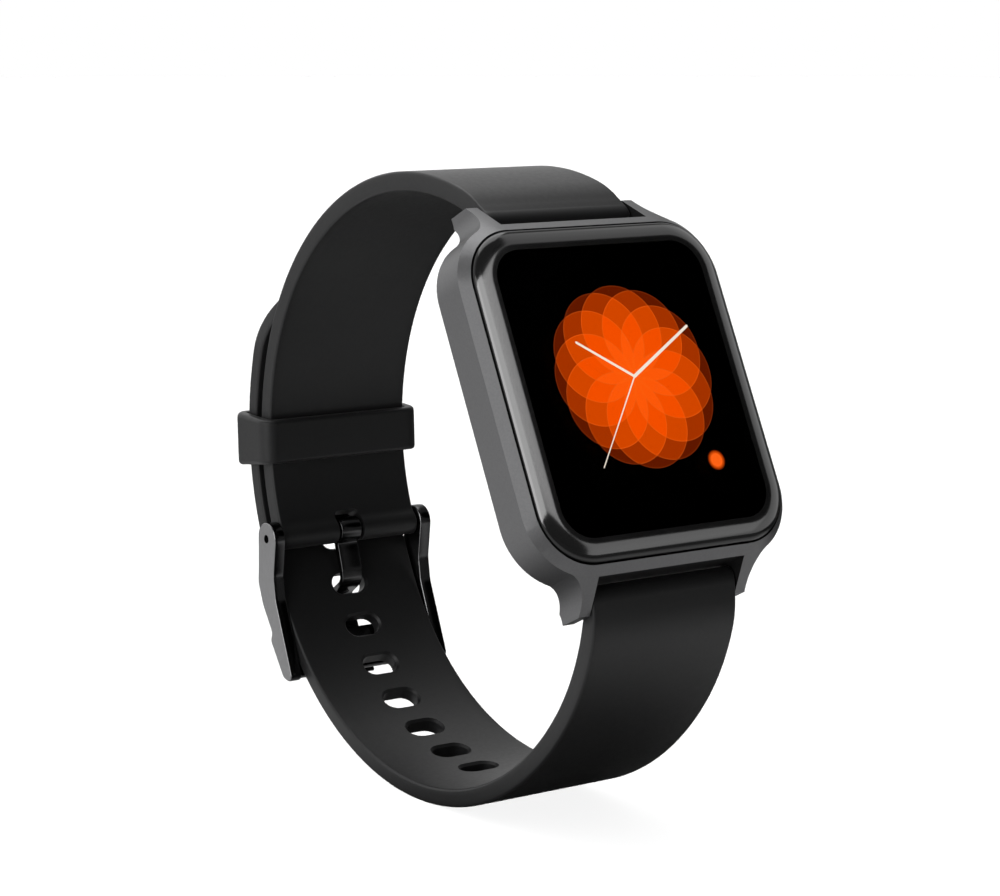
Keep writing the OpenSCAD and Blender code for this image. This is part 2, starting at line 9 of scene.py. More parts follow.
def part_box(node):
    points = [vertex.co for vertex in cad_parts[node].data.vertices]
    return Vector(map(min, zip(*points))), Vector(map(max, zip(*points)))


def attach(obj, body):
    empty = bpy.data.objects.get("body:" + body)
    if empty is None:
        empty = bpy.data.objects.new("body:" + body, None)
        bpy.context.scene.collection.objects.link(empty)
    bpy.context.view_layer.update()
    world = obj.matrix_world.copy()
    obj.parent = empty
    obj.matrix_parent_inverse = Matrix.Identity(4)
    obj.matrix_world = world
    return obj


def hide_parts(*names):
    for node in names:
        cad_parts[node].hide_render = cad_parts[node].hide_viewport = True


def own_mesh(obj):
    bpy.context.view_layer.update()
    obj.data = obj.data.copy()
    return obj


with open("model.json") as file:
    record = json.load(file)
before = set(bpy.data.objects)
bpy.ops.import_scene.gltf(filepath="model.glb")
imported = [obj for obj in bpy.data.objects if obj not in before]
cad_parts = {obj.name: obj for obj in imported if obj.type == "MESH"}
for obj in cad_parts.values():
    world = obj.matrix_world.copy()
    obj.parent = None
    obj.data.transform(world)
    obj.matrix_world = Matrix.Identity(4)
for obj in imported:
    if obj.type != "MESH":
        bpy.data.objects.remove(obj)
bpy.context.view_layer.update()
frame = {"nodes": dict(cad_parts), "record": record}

# --- Frame -------------------------------------------------------------------
# Pieces are drawn in watch axes, in millimetres: X across the strap, Y towards
# 12 o'clock, Z out of the display, origin in the middle of the rim's plane.
MM = 0.001
DOME = 0.95  # height of the glass above the rim
MOUNTS = {m["name"]: m for m in frame["record"]["mounts"]}
FACE_AXIS = Vector(MOUNTS["glass_face"]["axis"])
FACE_POS = Vector(MOUNTS["glass_face"]["pos_m"])
TILT = math.atan2(-FACE_AXIS.y, FACE_AXIS.z)
PLACE = (
    Matrix.Translation(FACE_POS - FACE_AXIS * DOME * MM)
    @ Matrix.Rotation(TILT, 4, "X")
    @ Matrix.Scale(MM, 4)
)
UNPLACE = PLACE.inverted()


# --- Mesh helpers --------------------------------------------------------------
def add_object(name, data):
    """A new object in the scene."""
    obj = bpy.data.objects.new(name, data)
    bpy.context.scene.collection.objects.link(obj)
    return obj


def take_mesh(name, bm):
    """The bmesh as a mesh; the bmesh is freed."""
    mesh = bpy.data.meshes.new(name)
    bm.to_mesh(mesh)
    bm.free()
    return mesh


def take_bmesh(mesh):
    """The mesh as a bmesh; the mesh is removed."""
    bm = bmesh.new()
    bm.from_mesh(mesh)
    bpy.data.meshes.remove(mesh)
    return bm


def finish_mesh(name, bm, body, mat, replaced=(), smooth_deg=40):
    """Turns a bmesh in watch axes into a placed, shaded piece of the object."""
    bmesh.ops.recalc_face_normals(bm, faces=bm.faces)
    mesh = take_mesh(name, bm)
    mesh.transform(PLACE)
    mesh.materials.append(mat)
    return finish_object(name, mesh, body, replaced, smooth_deg)


def finish_object(name, mesh, body, replaced=(), smooth_deg=40):
    """Makes a placed mesh a smooth piece that rides on a body."""
    obj = add_object(name, mesh)
    for p in mesh.polygons:
        p.use_smooth = True
    mesh.set_sharp_from_angle(angle=math.radians(smooth_deg))
    weighted = obj.modifiers.new("normals", "WEIGHTED_NORMAL")
    weighted.keep_sharp = True
    if replaced:
        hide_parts(*replaced)
    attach(obj, body)
    return obj


def baked(obj):
    """The object's mesh with its modifiers applied."""
    bpy.context.view_layer.update()
    graph = bpy.context.evaluated_depsgraph_get()
    return bpy.data.meshes.new_from_object(obj.evaluated_get(graph), depsgraph=graph)


def cad_bmesh(node):
    """A copy of a CAD node's mesh in watch axes, with its flat faces whole again."""
    bm = bmesh.new()
    bm.from_mesh(frame["nodes"][node].data)
    bm.transform(UNPLACE)
    bmesh.ops.remove_doubles(bm, verts=bm.verts, dist=0.002)
    bmesh.ops.dissolve_degenerate(bm, dist=0.001, edges=bm.edges)
    flat = math.radians(1.5)
    bmesh.ops.dissolve_limit(bm, angle_limit=flat, verts=bm.verts, edges=bm.edges)
    return bm


def bevelled(bm, width, angle=28):
    """The bmesh with every edge sharper than the angle rounded."""
    raw = add_object("raw", take_mesh("raw", bm))
    bevel = raw.modifiers.new("bevel", "BEVEL")
    bevel.width = width
    bevel.segments = 3
    bevel.limit_method = "ANGLE"
    bevel.angle_limit = math.radians(angle)
    bevel.use_clamp_overlap = True
    done = baked(raw)
    bpy.data.objects.remove(raw)
    return take_bmesh(done)


def rounded_node(node, name, body, mat, width):
    """A CAD node's shape with every edge rounded."""
    bm = bevelled(cad_bmesh(node), width)
    return finish_mesh(name, bm, body, mat, (node,))


def boolean(bm, tool_bm, operation):
    """One bmesh combined with another."""
    solid = add_object("solid", take_mesh("solid", bm))
    tool = add_object("solid", take_mesh("solid", tool_bm))
    modifier = solid.modifiers.new("boolean", "BOOLEAN")
    modifier.operation = operation
    modifier.solver = "EXACT"
    modifier.object = tool
    done = baked(solid)
    for obj in (solid, tool):
        bpy.data.objects.remove(obj)
    return take_bmesh(done)


def cut(bm, cutters):
    """The bmesh less all the cutters, which don't touch each other."""
    joined = bmesh.new()
    for cutter in cutters:
        piece = take_mesh("piece", cutter)
        joined.from_mesh(piece)
        bpy.data.meshes.remove(piece)
    return boolean(bm, joined, "DIFFERENCE")


def loft(loops, ring=False):
    """A bmesh skin over closed loops of equal length: a ring, or a capped solid."""
    bm = bmesh.new()
    rows = [[bm.verts.new(p) for p in loop] for loop in loops]
    count = len(rows[0])
    for i in range(len(rows) if ring else len(rows) - 1):
        a, b = rows[i], rows[(i + 1) % len(rows)]
        for j in range(count):
            k = (j + 1) % count
            bm.faces.new((a[j], a[k], b[k], b[j]))
    if not ring:
        bm.faces.new(rows[0])
        bm.faces.new(rows[-1][::-1])
    bmesh.ops.recalc_face_normals(bm, faces=bm.faces)
    return bm


# --- Outline helpers -----------------------------------------------------------
QUARTER = [math.radians(18 * k) for k in range(6)]  # a right angle in five steps
QUADRANTS = ((1, 1, 0), (-1, 1, 90), (-1, -1, 180), (1, -1, 270))


def heading(degrees):
    """The unit vector at an angle."""
    a = math.radians(degrees)
    return Vector((math.cos(a), math.sin(a)))


def polar(centre, radius, degrees):
    """The point at an angle and a radius from a centre."""
    return centre + radius * heading(degrees)


def stadium(half_l, radius, steps=10):
    """Points of a slot outline: two half circles joined by straight sides."""
    points = []
    for side, start in ((1, -90), (-1, 90)):
        for k in range(steps + 1):
            a = math.radians(start + 180 * k / steps)
            points.append((side * half_l + radius * math.cos(a), radius * math.sin(a)))
    return points


def rounded_rect(w, h, r, steps, mids):
    """Outline of a rounded rectangle, counter-clockwise, with points on its sides."""
    hx, hy = w / 2 - r, h / 2 - r
    points = []
    for i, (sx, sy, start) in enumerate(QUADRANTS):
        for k in range(steps + 1):
            a = math.radians(start + 90 * k / steps)
            points.append((sx * hx + r * math.cos(a), sy * hy + r * math.sin(a)))
        x0, y0 = points[-1]
        nx, ny, next_start = QUADRANTS[(i + 1) % 4]
        a = math.radians(next_start)
        x1, y1 = nx * hx + r * math.cos(a), ny * hy + r * math.sin(a)
        for m in range(1, mids + 1):
            t = m / (mids + 1)
            points.append((x0 + (x1 - x0) * t, y0 + (y1 - y0) * t))
    return points


def smooth_outline(points, sigma, spacing=0.16):
    """A closed outline resampled evenly, with its corners eased."""
    closed = [Vector(p) for p in points] + [Vector(points[0])]
    lengths = [(b - a).length for a, b in zip(closed, closed[1:])]
    total = sum(lengths)
    count = int(total / spacing)
    even, k, walked = [], 0, 0.0
    for i in range(count):
        goal = total * i / count
        while walked + lengths[k] < goal:
            walked += lengths[k]
            k += 1
        even.append(closed[k].lerp(closed[k + 1], (goal - walked) / lengths[k]))
    reach = int(3 * sigma / spacing) + 1
    offsets = range(-reach, reach + 1)
    weights = [math.exp(-0.5 * (d * spacing / sigma) ** 2) for d in offsets]
    share = sum(weights)
    eased = []
    for i in range(count):
        at = Vector((0, 0))
        for d, w in zip(offsets, weights):
            at += even[(i + d) % count] * w
        eased.append(at / share)
    return eased


# --- Cutters -------------------------------------------------------------------
CUT_PAST = 1  # how far a bore's cutter reaches past the piece
CUT_DEPTH = 4  # how far a slot's cutter reaches from the middle of the piece


def box_cutter(x0, x1, y0, y1, z0, z1, radius):
    """An upright block with rounded corners in plan."""
    cx, cy = (x0 + x1) / 2, (y0 + y1) / 2
    hx, hy = (x1 - x0) / 2 - radius, (y1 - y0) / 2 - radius
    outline = []
    for sx, sy, start in QUADRANTS:
        for k in range(7):
            a = math.radians(start + 15 * k)
            x = cx + sx * hx + radius * math.cos(a)
            y = cy + sy * hy + radius * math.sin(a)
            outline.append((x, y))
    return loft([[(x, y, z) for x, y in outline] for z in (z0, z1)])


def rod_cutter(half_x, y, z, radius, count=48):
    """A rod along X, as long to the left as to the right."""
    ring = []
    for k in range(count):
        a = 2 * math.pi * k / count
        ring.append((y + radius * math.cos(a), z + radius * math.sin(a)))
    return loft([[(x, p, q) for p, q in ring] for x in (-half_x, half_x)])


# --- Materials -----------------------------------------------------------------
NOISE_LOW, NOISE_HIGH = 0.3, 0.7  # the part of the noise's range that is used


def set_input(node, name, value):
    node.inputs[name].default_value = value


def material(name, colour, rough, metal=0.0, **extra):
    """A Principled material; an extra is an input, with _ for each space."""
    mat = bpy.data.materials.new(name)
    mat.use_nodes = True
    bsdf = mat.node_tree.nodes["Principled BSDF"]
    set_input(bsdf, "Base Color", (*colour, 1))
    set_input(bsdf, "Roughness", rough)
    set_input(bsdf, "Metallic", metal)
    for key, value in extra.items():
        set_input(bsdf, key.replace("_", " "), value)
    return mat


def noise(mat, scale, detail, stretch=(1, 1, 1)):
    """A noise texture in object space; scale is in features per metre."""
    nodes, links = mat.node_tree.nodes, mat.node_tree.links
    coord = nodes.new("ShaderNodeTexCoord")
    mapping = nodes.new("ShaderNodeMapping")
    set_input(mapping, "Scale", stretch)
    links.new(coord.outputs["Object"], mapping.inputs["Vector"])
    tex = nodes.new("ShaderNodeTexNoise")
    set_input(tex, "Scale", scale)
    set_input(tex, "Detail", detail)
    links.new(mapping.outputs["Vector"], tex.inputs["Vector"])
    return tex.outputs["Fac"]


def vary_rough(mat, value, low, high):
    """Roughness that follows a noise from low to high."""
    nodes, links = mat.node_tree.nodes, mat.node_tree.links
    span = nodes.new("ShaderNodeMapRange")
    set_input(span, "From Min", NOISE_LOW)
    set_input(span, "From Max", NOISE_HIGH)
    set_input(span, "To Min", low)
    set_input(span, "To Max", high)
    links.new(value, span.inputs["Value"])
    links.new(span.outputs["Result"], nodes["Principled BSDF"].inputs["Roughness"])


def vary_colour(mat, value, dark, light):
    """Colour that follows a noise from dark to light."""
    nodes, links = mat.node_tree.nodes, mat.node_tree.links
    ramp = nodes.new("ShaderNodeValToRGB")
    ends = ((NOISE_LOW, dark), (NOISE_HIGH, light))
    for element, (position, colour) in zip(ramp.color_ramp.elements, ends):
        element.position = position
        element.color = (*colour, 1)
    links.new(value, ramp.inputs["Fac"])
    links.new(ramp.outputs["Color"], nodes["Principled BSDF"].inputs["Base Color"])


def bump(mat, value, strength, distance):
    """Fine relief that follows a noise."""
    nodes, links = mat.node_tree.nodes, mat.node_tree.links
    node = nodes.new("ShaderNodeBump")
    set_input(node, "Strength", strength)
    set_input(node, "Distance", distance)
    links.new(value, node.inputs["Height"])
    links.new(node.outputs["Normal"], nodes["Principled BSDF"].inputs["Normal"])


def case_metal():
    """Bead-blasted and anodised metal: an even satin grey with a very fine grain."""
    mat = material("case_metal", (0.155, 0.155, 0.158), 0.42, 0.75)
    dark, light = (0.147, 0.147, 0.15), (0.163, 0.163, 0.166)
    vary_colour(mat, noise(mat, 5000, 2), dark, light)
    vary_rough(mat, noise(mat, 9000, 2), 0.38, 0.45)
    bump(mat, noise(mat, 14000, 2), 0.12, 0.00001)
    return mat


def recess_shade_material():
    """Painted shade: a near-black material for the walls between the lugs, where the strap
    ends sit.
    """
    mat = material("recess_painted_shade", (0.012, 0.012, 0.012), 0.6, Specular_IOR_Level=0.15)
    dark, light = (0.01, 0.01, 0.01), (0.014, 0.014, 0.014)
    vary_colour(mat, noise(mat, 5000, 2), dark, light)
    vary_rough(mat, noise(mat, 9000, 2), 0.55, 0.65)
    return mat


def silicone():
    """Matte moulded silicone: fine orange-peel grain, faint handling marks."""
    finish = {"Specular_IOR_Level": 0.4, "Sheen_Weight": 0.05}
    mat = material("strap_silicone", (0.012, 0.012, 0.0125), 0.42, **finish)
    dark, light = (0.011, 0.011, 0.0115), (0.013, 0.013, 0.0135)
    vary_colour(mat, noise(mat, 2500, 3), dark, light)
    vary_rough(mat, noise(mat, 1800, 4), 0.4, 0.46)
    bump(mat, noise(mat, 7000, 3), 0.08, 0.00002)
    return mat


def black_steel(name, tone):
    """Polished black-plated steel with faint lengthwise polishing lines."""
    base, dark, light = ((t, t, 1.015 * t) for t in (tone, 0.96 * tone, 1.04 * tone))
    mat = material(name, base, 0.16, 1.0)
    vary_colour(mat, noise(mat, 2000, 3), dark, light)
    vary_rough(mat, noise(mat, 900, 3, (1, 6, 6)), 0.13, 0.21)
    bump(mat, noise(mat, 4000, 2, (1, 8, 8)), 0.04, 0.00001)
    return mat


def bare_metal(name, colour):
    """Unpainted metal with fine lines across it."""
    mat = material(name, colour, 0.28, 1.0)
    vary_colour(mat, noise(mat, 500, 3), tuple(0.9 * c for c in colour), colour)
    vary_rough(mat, noise(mat, 3000, 2, (6, 1, 1)), 0.22, 0.36)
    bump(mat, noise(mat, 9000, 2, (8, 1, 1)), 0.06, 0.00001)
    return mat


def plastic(name, colour, low, high, grain, **extra):
    """Moulded plastic or rubber; low and high are the ends of its roughness."""
    mat = material(name, colour, low, **extra)
    vary_colour(mat, noise(mat, 300, 3), tuple(0.85 * c for c in colour), colour)
    vary_rough(mat, noise(mat, grain / 3, 3), low, high)
    bump(mat, noise(mat, grain, 2), 0.08, 0.00002)
    return mat


def glass(name, colour, scale, detail, low, high, **extra):
    """Glass with faint smears; low and high are the ends of its roughness."""
    mat = material(name, colour, low, IOR=1.5, **extra)
    vary_rough(mat, noise(mat, scale, detail), low, high)
    return mat


def glow(name, tone, strength):
    """A lit area of the display: black when off, glowing in one colour."""
    mat = material(name, (0.001, 0.001, 0.001), 0.5, Specular_IOR_Level=0.0)
    vary_rough(mat, noise(mat, 4000, 2), 0.45, 0.55)
    bsdf = mat.node_tree.nodes["Principled BSDF"]
    set_input(bsdf, "Emission Color", (*srgb(tone), 1))
    set_input(bsdf, "Emission Strength", strength)
    return mat


def srgb(text):
    """The linear colour of a hexadecimal one."""
    shares = [int(text[i : i + 2], 16) / 255 for i in (0, 2, 4)]
    return tuple(s / 12.92 if s <= 0.04045 else ((s + 0.055) / 1.055) ** 2.4 for s in shares)


CASE_METAL = case_metal()
# Painted shade for the walls between the lugs; the case there is really the same metal.
RECESS_SHADE_BLACK = recess_shade_material()
SILICONE = silicone()
BLACK_STEEL = black_steel("black_steel", 0.26)
# A darker copy of the black steel: painted shade on the buckle's edge faces, and the tongue,
# darker all over.
TONGUE_AND_EDGE_SHADE_STEEL = black_steel("tongue_and_edge_shade_steel", 0.07)
BARE_STEEL = bare_metal("bare_steel", (0.56, 0.56, 0.57))
PIN_STEEL = bare_metal("pin_steel", (0.06, 0.06, 0.063))
GOLD = bare_metal("contact_gold", (0.83, 0.62, 0.28))
FOIL = bare_metal("battery_foil", (0.5, 0.5, 0.52))
REAR_PLASTIC = plastic("rear_plastic", (0.035, 0.035, 0.037), 0.32, 0.42, 3000)
INNER_PLASTIC = plastic("inner_plastic", (0.05, 0.05, 0.052), 0.5, 0.6, 5000)
SEAL_RUBBER = plastic("seal_rubber", (0.012, 0.012, 0.012), 0.7, 0.8, 5000)
BOARD = plastic("circuit_board", (0.02, 0.12, 0.06), 0.35, 0.5, 4000)
FLEX = plastic("flex_film", (0.6, 0.32, 0.06), 0.3, 0.4, 4000)
PRINT_BLACK = plastic(
    "print_black", (0.0006, 0.0006, 0.0006), 0.5, 0.6, 3000, Specular_IOR_Level=0.0
)
# The sensor's glass is tinted so deeply that it looks black. The curved border of
# the front glass shows the black print under it, so both are one black gloss.
SENSOR_GLASS = glass("sensor_glass", (0.004, 0.004, 0.005), 400, 3, 0.03, 0.07)
BORDER_GLASS = glass("printed_glass", (0.002, 0.002, 0.002), 300, 3, 0.11, 0.13)
CLEAR_GLASS = glass(
    "front_glass", (0.97, 0.97, 0.98), 150, 4, 0.01, 0.025, Transmission_Weight=1.0
)

# --- Strap ---------------------------------------------------------------------
# Its faces are arcs in [Y, Z] of the watch axes. LOOP is the buckle half and the
# tail over it, LOW is the hole half, and their places are those of part.scad.
BAR_Y, BAR_Z, BORE_R = 22.05, -4.8, 0.81
HEAD_R, HEAD_EASE, EASE_L = 1.8, 0.7, 5.0
LOOP_C = Vector((1.98, -29.55))
UPPER_R, UPPER_T = 31.44, 2.25
TAIL_R, TAIL_T = 34.8, 1.93
LOW_R, LOW_T = 33.31, 2.2
LOOP_BOTTOM = LOOP_C.y - TAIL_R
LOW_C = Vector((-2.14, LOOP_BOTTOM + LOW_R))
LOW_OUT_R = LOW_R + LOW_T
LOW_OUT_C = Vector((LOW_C.x, LOOP_BOTTOM - TAIL_T + LOW_OUT_R))
SHOULDER_A, SHOULDER_STEP = 152.1, 6.95
SHOULDER = SHOULDER_STEP * heading(SHOULDER_A)
BOTTOM_A, TAIL_TIP_A = 270, 312
TIP_STEPS, TIP_END_A = 24, 89.5
HALF_W, EDGE_R = 9.95, 0.34
PIN_Y = 3.25
PIN_MID_R = UPPER_R + UPPER_T / 2
PIN_Z = LOOP_C.y - math.sqrt(PIN_MID_R**2 - (PIN_Y - LOOP_C.x) ** 2)
PIN_HEAD_R, PIN_R, PIN_TIP_R = 1.6, 0.85, 0.5
HOLE_PITCH, HOLE_W, HOLE_L, HOLE_RIM = 6, 4.8, 2.8, 0.28
LOW_HOLE_A, TAIL_HOLE_A = 268.35, 261.9
LOW_HOLES, TAIL_HOLES = 7, 3
ARC_STEP = 0.8  # degrees between the sections of a strap
SWELL_BLEND = 0.5
HEAD_STEPS, HEAD_END_A = 14, 86
MIDDLE_COLUMNS = 10
NOTCH_X0, NOTCH_X1, NOTCH_HALF, NOTCH_CORNER = 5.65, 8.5, 0.8, 0.3
TONGUE_SLOT_X, TONGUE_SLOT_Y0, TONGUE_SLOT_CORNER = 1.85, -1, 0.7


def smooth_max(a, b):
    """The larger value, blended where the two are close."""
    return max(a, b) + max(SWELL_BLEND - abs(a - b), 0) ** 2 / (4 * SWELL_BLEND)


def arc(c_in, r_in, c_out, r_out, a0, a1, step=ARC_STEP):
    """Sections round an arc: inner point, outer point and half width."""
    count = max(1, round(abs(a1 - a0) / step))
    angles = [a0 + (a1 - a0) * i / count for i in range(count + 1)]
    return [(polar(c_in, r_in, a), polar(c_out, r_out, a), HALF_W) for a in angles]


def wrap_end(sections, centre, radius, ease=0.0):
    """Swells the last sections round a bar, and closes the strap past it."""
    swollen = []
    for inner, outer, half in sections:
        thick = (outer - inner).length
        e = (outer - inner) / thick
        c0 = (centre - inner).dot(e)
        off = (centre - inner - e * c0).length
        low, high = 0.0, thick
        beside = -radius < c0 < thick + radius
        if off < radius and beside:
            chord = math.sqrt(radius * radius - off * off)
            low = -smooth_max(0, chord - c0)
            high = smooth_max(thick, c0 + chord)
        if off < EASE_L and beside:
            high -= ease * (1 - off / EASE_L) ** 2
        swollen.append((inner + e * low, inner + e * high, half))
    inner, outer, half = swollen[-1]
    e = (outer - inner).normalized()
    before = (swollen[-2][0] + swollen[-2][1]) / 2
    onward = (inner + outer) / 2 - before
    onward = (onward - e * onward.dot(e)).normalized()
    low = (centre - inner).dot(e)
    high = (outer - inner).length - low
    for k in range(1, HEAD_STEPS + 1):
        a = math.radians(HEAD_END_A * k / HEAD_STEPS)
        middle = centre + onward * radius * math.sin(a)
        up = e * math.cos(a)
        swollen.append((middle - up * low, middle + up * high, half))
    return swollen


def column_places(half):
    """Distances across half the strap: dense at the edge, then even."""
    flat = HALF_W - EDGE_R
    places = [HALF_W - EDGE_R * (1 - math.cos(a)) for a in QUARTER]
    places += [flat - flat * k / MIDDLE_COLUMNS for k in range(1, MIDDLE_COLUMNS + 1)]
    return [p / HALF_W * half for p in places]


def strap_section(inner, outer, half, inset):
    """A closed loop of points across the strap; inset is a place's distance inwards."""
    thick = (outer - inner).length
    e = (outer - inner) / thick
    radius = min(EDGE_R, 0.48 * thick)
    right = column_places(half)
    xs = right + [-x for x in reversed(right[:-1])]

    def lift(x):
        q = min(max(inset(x), 0), radius)
        return radius - math.sqrt(max(radius**2 - (radius - q) ** 2, 0))

    def wall(start, end):
        (x0, h0), (x1, h1) = start, end
        return [(x0 + (x1 - x0) * t, h0 + (h1 - h0) * t) for t in (1 / 3, 2 / 3)]

    top = [(x, thick - lift(x)) for x in xs]
    bottom = [(x, lift(x)) for x in reversed(xs)]
    loop = top + wall(top[-1], bottom[0]) + bottom + wall(bottom[-1], top[0])
    return [(x, inner.x + e.x * h, inner.y + e.y * h) for x, h in loop]


def strap_mesh(sections, inset):
    """Lofts a strap; inset(i, x, half) is the distance in from its outline."""
    loops = []
    for i, (inner, outer, half) in enumerate(sections):
        def here(x, i=i, half=half):
            return inset(i, x, half)
        loops.append(strap_section(inner, outer, half, here))
    return loft(loops)


def hole_cutter(centre, degrees, r_in, r_out):
    """A slot cutter that flares at both faces of the strap, so its rims are round."""
    out = heading(degrees)
    along = Vector((-out.y, out.x))
    sines = [math.sin(t) for t in QUARTER]
    depths = [(r_in - 1.2, HOLE_RIM)]
    depths += [(r_in + HOLE_RIM * s, HOLE_RIM * (1 - s)) for s in sines]
    depths += [(r_out - HOLE_RIM * s, HOLE_RIM * (1 - s)) for s in reversed(sines)]
    depths.append((r_out + 1.2, HOLE_RIM))
    loops = []
    for radius, grow in depths:
        loop = []
        for x, u in stadium((HOLE_W - HOLE_L) / 2, HOLE_L / 2 + grow):
            p = centre + out * radius + along * u
            loop.append((x, p.x, p.y))
        loops.append(loop)
    return loft(loops)


def bar_cutters(sign):
    """The bore for a spring bar, and the notch its release lever slides in."""
    y0, y1 = sign * BAR_Y - NOTCH_HALF, sign * BAR_Y + NOTCH_HALF
    z0 = BAR_Z - CUT_DEPTH
    return [
        rod_cutter(HALF_W + CUT_PAST, sign * BAR_Y, BAR_Z, BORE_R),
        box_cutter(NOTCH_X0, NOTCH_X1, y0, y1, z0, BAR_Z, NOTCH_CORNER),
    ]


def finish_strap(name, bm, cutters, node):
    """Cuts a strap half's openings one by one, and makes it a piece."""
    for cutter in cutters:
        bm = cut(bm, [cutter])
    finish_mesh(name, bm, "band", SILICONE, (node,), 32)


def upper_strap():
    """The buckle half, from its spring bar to the rolled end round the pin."""
    bar, pin = Vector((BAR_Y, BAR_Z)), Vector((PIN_Y, PIN_Z))
    bar_a = math.degrees(math.atan2(BAR_Z - LOOP_C.y, BAR_Y - LOOP_C.x))
    pin_a = math.degrees(math.atan2(PIN_Z - LOOP_C.y, PIN_Y - LOOP_C.x))
    run = arc(LOOP_C, UPPER_R, LOOP_C, UPPER_R + UPPER_T, pin_a, bar_a)
    run = wrap_end(run, bar, HEAD_R, HEAD_EASE)
    run = wrap_end(run[::-1], pin, PIN_HEAD_R)
    bm = strap_mesh(run, lambda i, x, half: half - abs(x))
    slot_x, slot_y1 = TONGUE_SLOT_X, PIN_Y + PIN_HEAD_R + 0.6
    tongue_slot = box_cutter(
        -slot_x, slot_x, TONGUE_SLOT_Y0, slot_y1,
        PIN_Z - CUT_DEPTH, PIN_Z + CUT_DEPTH, TONGUE_SLOT_CORNER,
    )
    pin_bore = rod_cutter(HALF_W + CUT_PAST, PIN_Y, PIN_Z, PIN_R + 0.05)
    cutters = [tongue_slot, pin_bore] + bar_cutters(1)
    finish_strap("strap_buckle_half", bm, cutters, "upper_strap")


def lower_strap():
    """The hole half, from its spring bar through the buckle to the tail's tip."""
    bar = Vector((-BAR_Y, BAR_Z))
    side_c, side_out_c = LOW_C + SHOULDER, LOW_OUT_C + SHOULDER
    side_r, side_out_r = LOW_R - SHOULDER_STEP, LOW_OUT_R - SHOULDER_STEP
    side_a = math.degrees(math.atan2(BAR_Z - side_c.y, -BAR_Y - side_c.x))
    run = arc(side_c, side_r, side_out_c, side_out_r, side_a, SHOULDER_A, 1)
    run += arc(LOW_C, LOW_R, LOW_OUT_C, LOW_OUT_R, SHOULDER_A, BOTTOM_A)[1:]
    run += arc(LOOP_C, TAIL_R, LOOP_C, TAIL_R + TAIL_T, BOTTOM_A, TAIL_TIP_A)
    middle_r = TAIL_R + TAIL_T / 2
    tip_u = []
    for k in range(1, TIP_STEPS + 1):
        u = HALF_W * math.sin(math.radians(TIP_END_A * k / TIP_STEPS))
        a = TAIL_TIP_A + math.degrees(math.asin(u / middle_r))
        half = math.sqrt(HALF_W**2 - u**2)
        run.append((polar(LOOP_C, TAIL_R, a), polar(LOOP_C, TAIL_R + TAIL_T, a), half))
        tip_u.append(u)
    run = wrap_end(run[::-1], bar, HEAD_R, HEAD_EASE)[::-1]
    tip_start = len(run) - TIP_STEPS

    def inset(i, x, half):
        if i < tip_start:
            return half - abs(x)
        return HALF_W - math.sqrt(tip_u[i - tip_start] ** 2 + x * x)

    bm = strap_mesh(run, inset)
    step = math.degrees(HOLE_PITCH / (LOW_R + LOW_T / 2))
    tail_step = math.degrees(HOLE_PITCH / middle_r)
    holes = []
    for k in range(LOW_HOLES):
        a = LOW_HOLE_A - k * step
        reach = (LOW_OUT_C - LOW_C).dot(heading(a))
        holes.append(hole_cutter(LOW_C, a, LOW_R, LOW_OUT_R + reach))
    for k in range(1, TAIL_HOLES + 1):
        a = TAIL_HOLE_A + k * tail_step
        holes.append(hole_cutter(LOOP_C, a, TAIL_R, TAIL_R + TAIL_T))
    finish_strap("strap_hole_half", cut(bm, holes), bar_cutters(-1), "lower_strap")


KEEPER_A, KEEPER_L = 23.8, 5.6
KEEPER_WALL, KEEPER_SIDE = 1.25, 1.4
KEEPER_GAP_X, KEEPER_GAP_R = 0.17, 0.25
KEEPER_CORNER_IN, KEEPER_CORNER_OUT = 0.4, 2.0
KEEPER_EDGE_IN, KEEPER_EDGE_OUT = 0.25, 0.5


def keeper():
    """The sliding loop: a rounded band in section, bent to the strap's curve."""
    in0, in1 = UPPER_R - KEEPER_GAP_R, TAIL_R + TAIL_T + KEEPER_GAP_R
    mid, deep, half_x = (in0 + in1) / 2, in1 - in0, HALF_W + KEEPER_GAP_X
    inner = rounded_rect(2 * half_x, deep, KEEPER_CORNER_IN, 10, 6)
    out_w, out_h = 2 * (half_x + KEEPER_SIDE), deep + 2 * KEEPER_WALL
    outer = rounded_rect(out_w, out_h, KEEPER_CORNER_OUT, 10, 6)
    half_u = KEEPER_L / 2
    half_a = math.degrees(half_u / UPPER_R)
    loops = []
    for (xi, ri), (xo, ro) in zip(inner, outer):
        thick = math.hypot(xo - xi, ro - ri)
        loop = []
        for sign_u, sign_v, start in QUADRANTS:
            r = KEEPER_EDGE_OUT if sign_v > 0 else KEEPER_EDGE_IN
            centre_u = sign_u * (half_u - r)
            centre_v = thick - r if sign_v > 0 else r
            for t in QUARTER:
                a = math.radians(start) + t
                u, v = centre_u + r * math.cos(a), centre_v + r * math.sin(a)
                share = v / thick
                radius = mid + ri + (ro - ri) * share
                p = polar(LOOP_C, radius, KEEPER_A + u / half_u * half_a - 90)
                loop.append((xi + (xo - xi) * share, p.x, p.y))
        loops.append(loop)
    bm = loft(loops, ring=True)
    finish_mesh("strap_keeper", bm, "keeper", SILICONE, ("keeper",), 50)


upper_strap()
lower_strap()
keeper()

# --- Case and glass --------------------------------------------------------------
# Past these bounds, between the lugs, the case's faces carry painted shade.
RECESS_X, RECESS_Y = 10.15, 20.02  # inside these and past them, between the lugs
GLASS_W, GLASS_H, GLASS_R = 33.3, 37.7, 6.15
GLASS_BOTTOM = -1.2
GLASS_CORNER_STEPS, GLASS_SIDE_POINTS = 16, 9
WINDOW_INSET, WINDOW_R = 2.95, 4.2
BORDER, BORDER_STEPS, BORDER_CHAMFER = 2.1, 40, 0.1
FLAT_INSET = BORDER + 0.4


